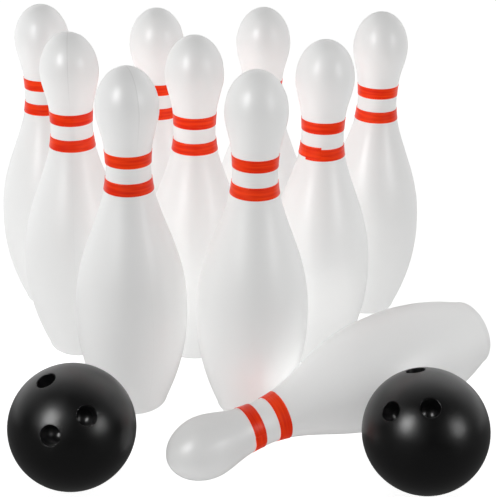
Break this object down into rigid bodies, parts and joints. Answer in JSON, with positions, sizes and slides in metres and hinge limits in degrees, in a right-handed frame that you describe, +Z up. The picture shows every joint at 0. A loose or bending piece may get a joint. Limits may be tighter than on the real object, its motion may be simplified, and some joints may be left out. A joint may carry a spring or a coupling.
{
  "type": "kids bowling set",
  "caption": "Toy skittles with two bands of tape on each neck, standing in a rack and one knocked over, and hollow balls with finger pockets.",
  "frame": {"origin": "on the floor, under the middle of the set's bounding box", "axes": "+Z up, -Y towards the viewer in front of the rack, +X to that viewer's right"},
  "size_m": [0.3636, 0.3372, 0.24],
  "materials": {
    "white_plastic": "satin white blow-moulded polyethylene",
    "red_tape": "semi-gloss orange-red vinyl tape",
    "black_plastic": "semi-gloss black moulded plastic"
  },
  "bodies": {
    "pin_1": {"pin_1_shell": "white_plastic", "pin_1_upper_stripe": "red_tape", "pin_1_lower_stripe": "red_tape"},
    "pin_2": {"pin_2_shell": "white_plastic", "pin_2_upper_stripe": "red_tape", "pin_2_lower_stripe": "red_tape"},
    "pin_3": {"pin_3_shell": "white_plastic", "pin_3_upper_stripe": "red_tape", "pin_3_lower_stripe": "red_tape"},
    "pin_4": {"pin_4_shell": "white_plastic", "pin_4_upper_stripe": "red_tape", "pin_4_lower_stripe": "red_tape"},
    "pin_5": {"pin_5_shell": "white_plastic", "pin_5_upper_stripe": "red_tape", "pin_5_lower_stripe": "red_tape"},
    "pin_6": {"pin_6_shell": "white_plastic", "pin_6_upper_stripe": "red_tape", "pin_6_lower_stripe": "red_tape"},
    "pin_7": {"pin_7_shell": "white_plastic", "pin_7_upper_stripe": "red_tape", "pin_7_lower_stripe": "red_tape"},
    "pin_8": {"pin_8_shell": "white_plastic", "pin_8_upper_stripe": "red_tape", "pin_8_lower_stripe": "red_tape"},
    "pin_9": {"pin_9_shell": "white_plastic", "pin_9_upper_stripe": "red_tape", "pin_9_lower_stripe": "red_tape"},
    "pin_10": {"pin_10_shell": "white_plastic", "pin_10_upper_stripe": "red_tape", "pin_10_lower_stripe": "red_tape"},
    "left_ball": {"ball_left": "black_plastic"},
    "right_ball": {"ball_right": "black_plastic"}
  },
  "joints": [
    {"name": "pin_1_fall", "type": "hinge", "parent": "pin_5", "child": "pin_1", "pos_m": [-0.14422, 0.14377, 0.02606], "axis": [-1, 0, 0], "range_deg": [0, 97.39]},
    {"name": "pin_2_fall", "type": "hinge", "parent": "pin_5", "child": "pin_2", "pos_m": [-0.12961, 0.04179, 0.02606], "axis": [0.2756, -0.9613, 0], "range_deg": [0, 97.39]},
    {"name": "pin_3_fall", "type": "hinge", "parent": "pin_5", "child": "pin_3", "pos_m": [-0.08163, -0.03599, 0.02606], "axis": [0.2079, -0.9781, 0], "range_deg": [0, 97.39]},
    {"name": "pin_4_fall", "type": "hinge", "parent": "pin_5", "child": "pin_4", "pos_m": [-0.05814, 0.13995, 0.02606], "axis": [-1, 0, 0], "range_deg": [0, 97.39]},
    {"name": "pin_6_fall", "type": "hinge", "parent": "pin_5", "child": "pin_6", "pos_m": [0.02078, 0.14953, 0.02606], "axis": [-1, 0, 0], "range_deg": [0, 97.39]},
    {"name": "pin_9_fall", "type": "hinge", "parent": "pin_5", "child": "pin_9", "pos_m": [0.10798, 0.14358, 0.02606], "axis": [-1, 0, 0], "range_deg": [0, 97.39]},
    {"name": "pin_7_lift", "type": "slide", "parent": "pin_5", "child": "pin_7", "axis": [0, 0, 1], "range_m": [0, 0.26]},
    {"name": "pin_8_lift", "type": "slide", "parent": "pin_5", "child": "pin_8", "axis": [0, 0, 1], "range_m": [0, 0.26]},
    {"name": "pin_10_roll", "type": "hinge", "parent": "pin_5", "child": "pin_10", "pos_m": [0.11306, -0.04416, 0.03887], "axis": [-0.8455, -0.5181, -0.1288], "continuous": true},
    {"name": "left_ball_roll", "type": "hinge", "parent": "pin_5", "child": "left_ball", "pos_m": [-0.09067, -0.12933, 0.0393], "axis": [1, 0, 0], "continuous": true},
    {"name": "right_ball_roll", "type": "hinge", "parent": "pin_5", "child": "right_ball", "pos_m": [0.12657, -0.12429, 0.0393], "axis": [1, 0, 0], "continuous": true}
  ]
}
